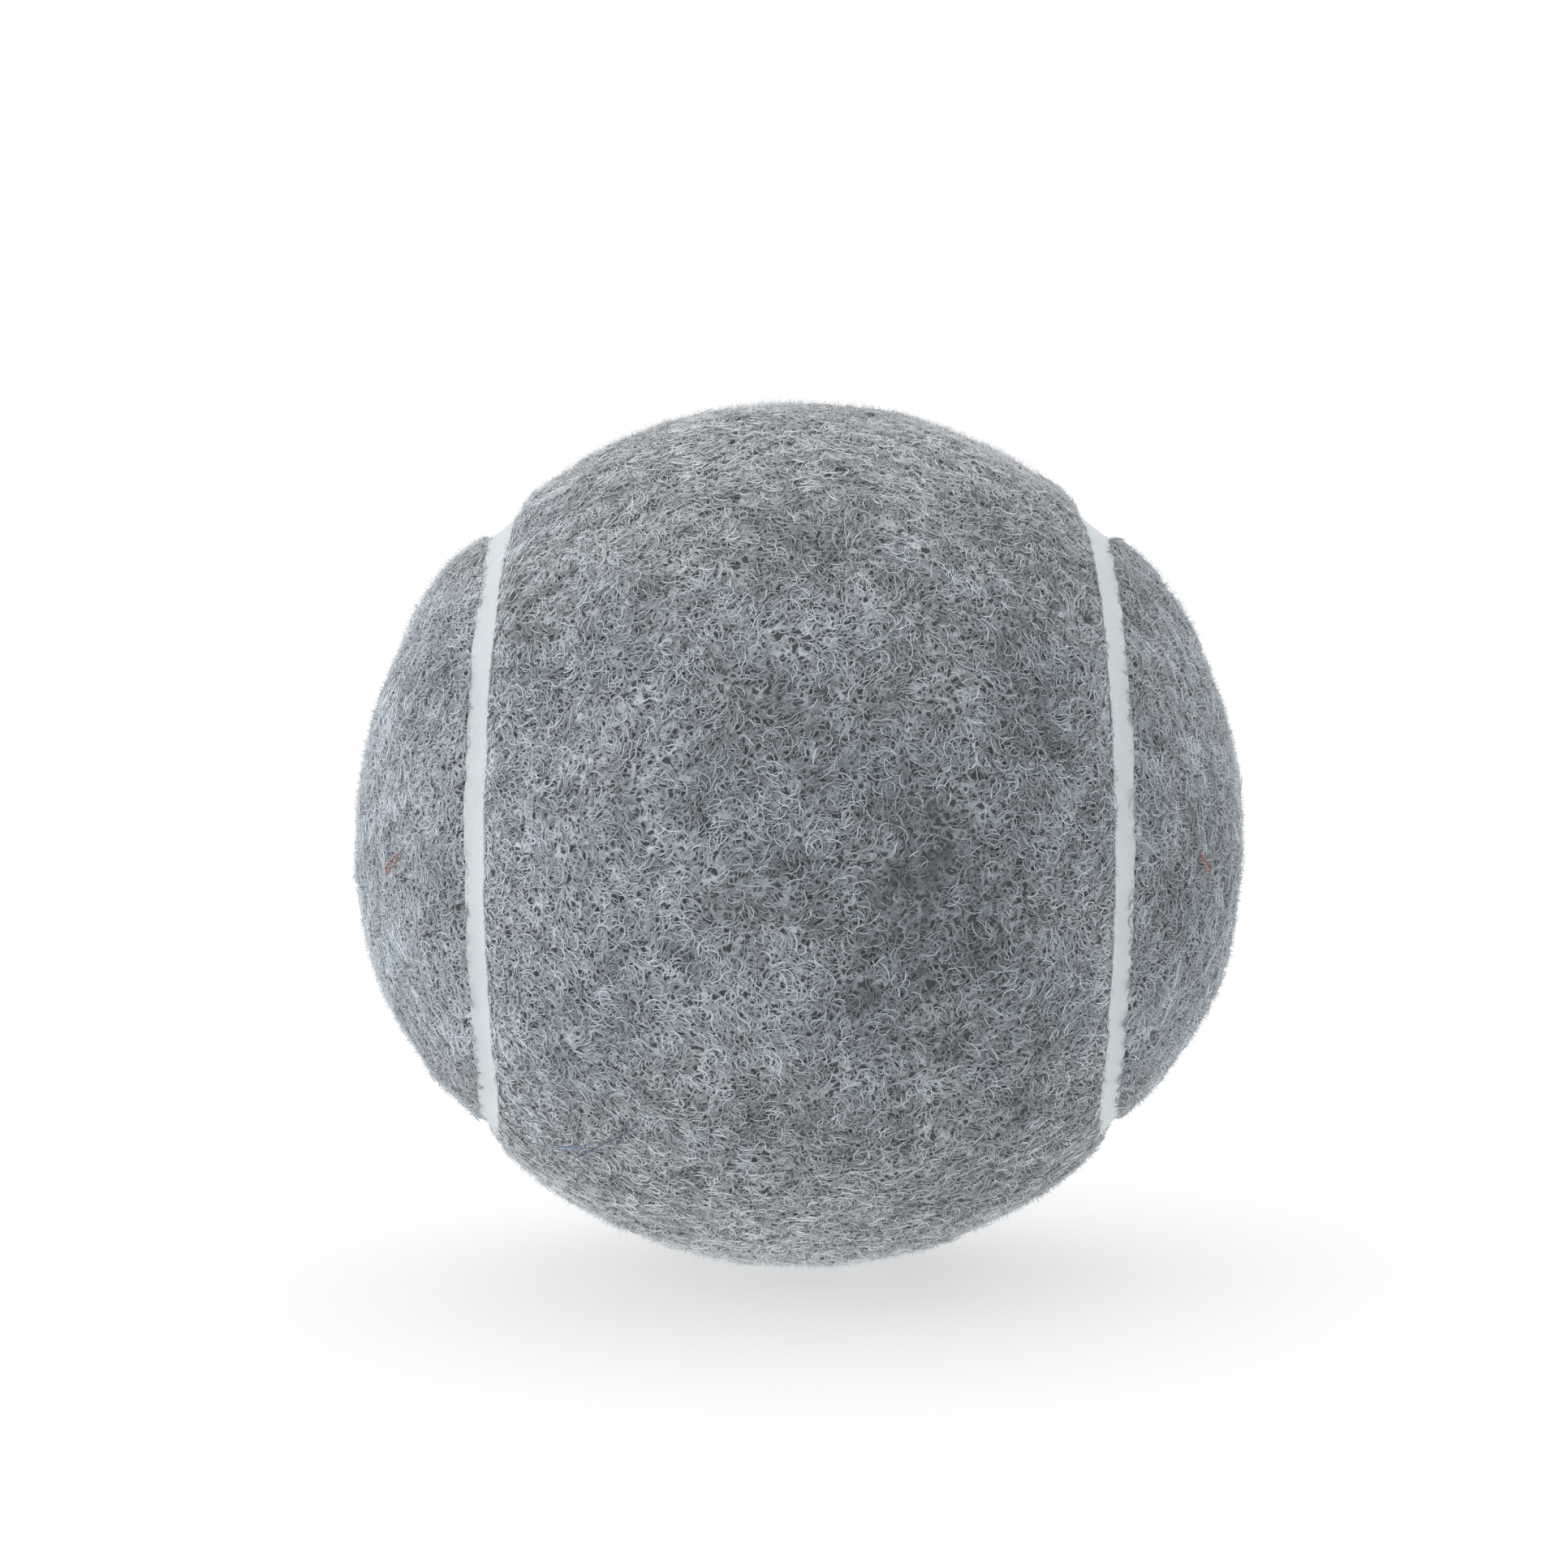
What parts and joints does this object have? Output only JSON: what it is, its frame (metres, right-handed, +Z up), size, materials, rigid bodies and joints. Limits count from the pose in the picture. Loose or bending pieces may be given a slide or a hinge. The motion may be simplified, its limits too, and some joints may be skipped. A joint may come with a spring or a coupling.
{
  "type": "tennis ball",
  "caption": "Hollow rubber ball covered in grey felt panels joined by a curving, sunken pale seam, for hitting back and forth with a racket.",
  "frame": {"origin": "centre of the ball", "axes": "+Z up, -Y out through the middle of the front panel's waist, which faces the viewer in the picture, and the lobes of the back panel at -X and +X"},
  "size_m": [0.067, 0.067, 0.067],
  "materials": {
    "felt": "short curly grey nap, matte",
    "seam_rubber": "chalky, matte",
    "core_rubber": "moulded, slightly satin",
    "core_cement": "cured rubber cement, matte",
    "felt_cement": "cured rubber cement, matte"
  },
  "bodies": {
    "root": {"core_shell_upper": "core_rubber", "core_shell_lower": "core_rubber", "core_joint_ring": "core_cement", "felt_cement_front": "felt_cement", "felt_cement_back": "felt_cement", "felt_front": "felt", "felt_back": "felt", "seam_strip": "seam_rubber"}
  },
  "joints": []
}
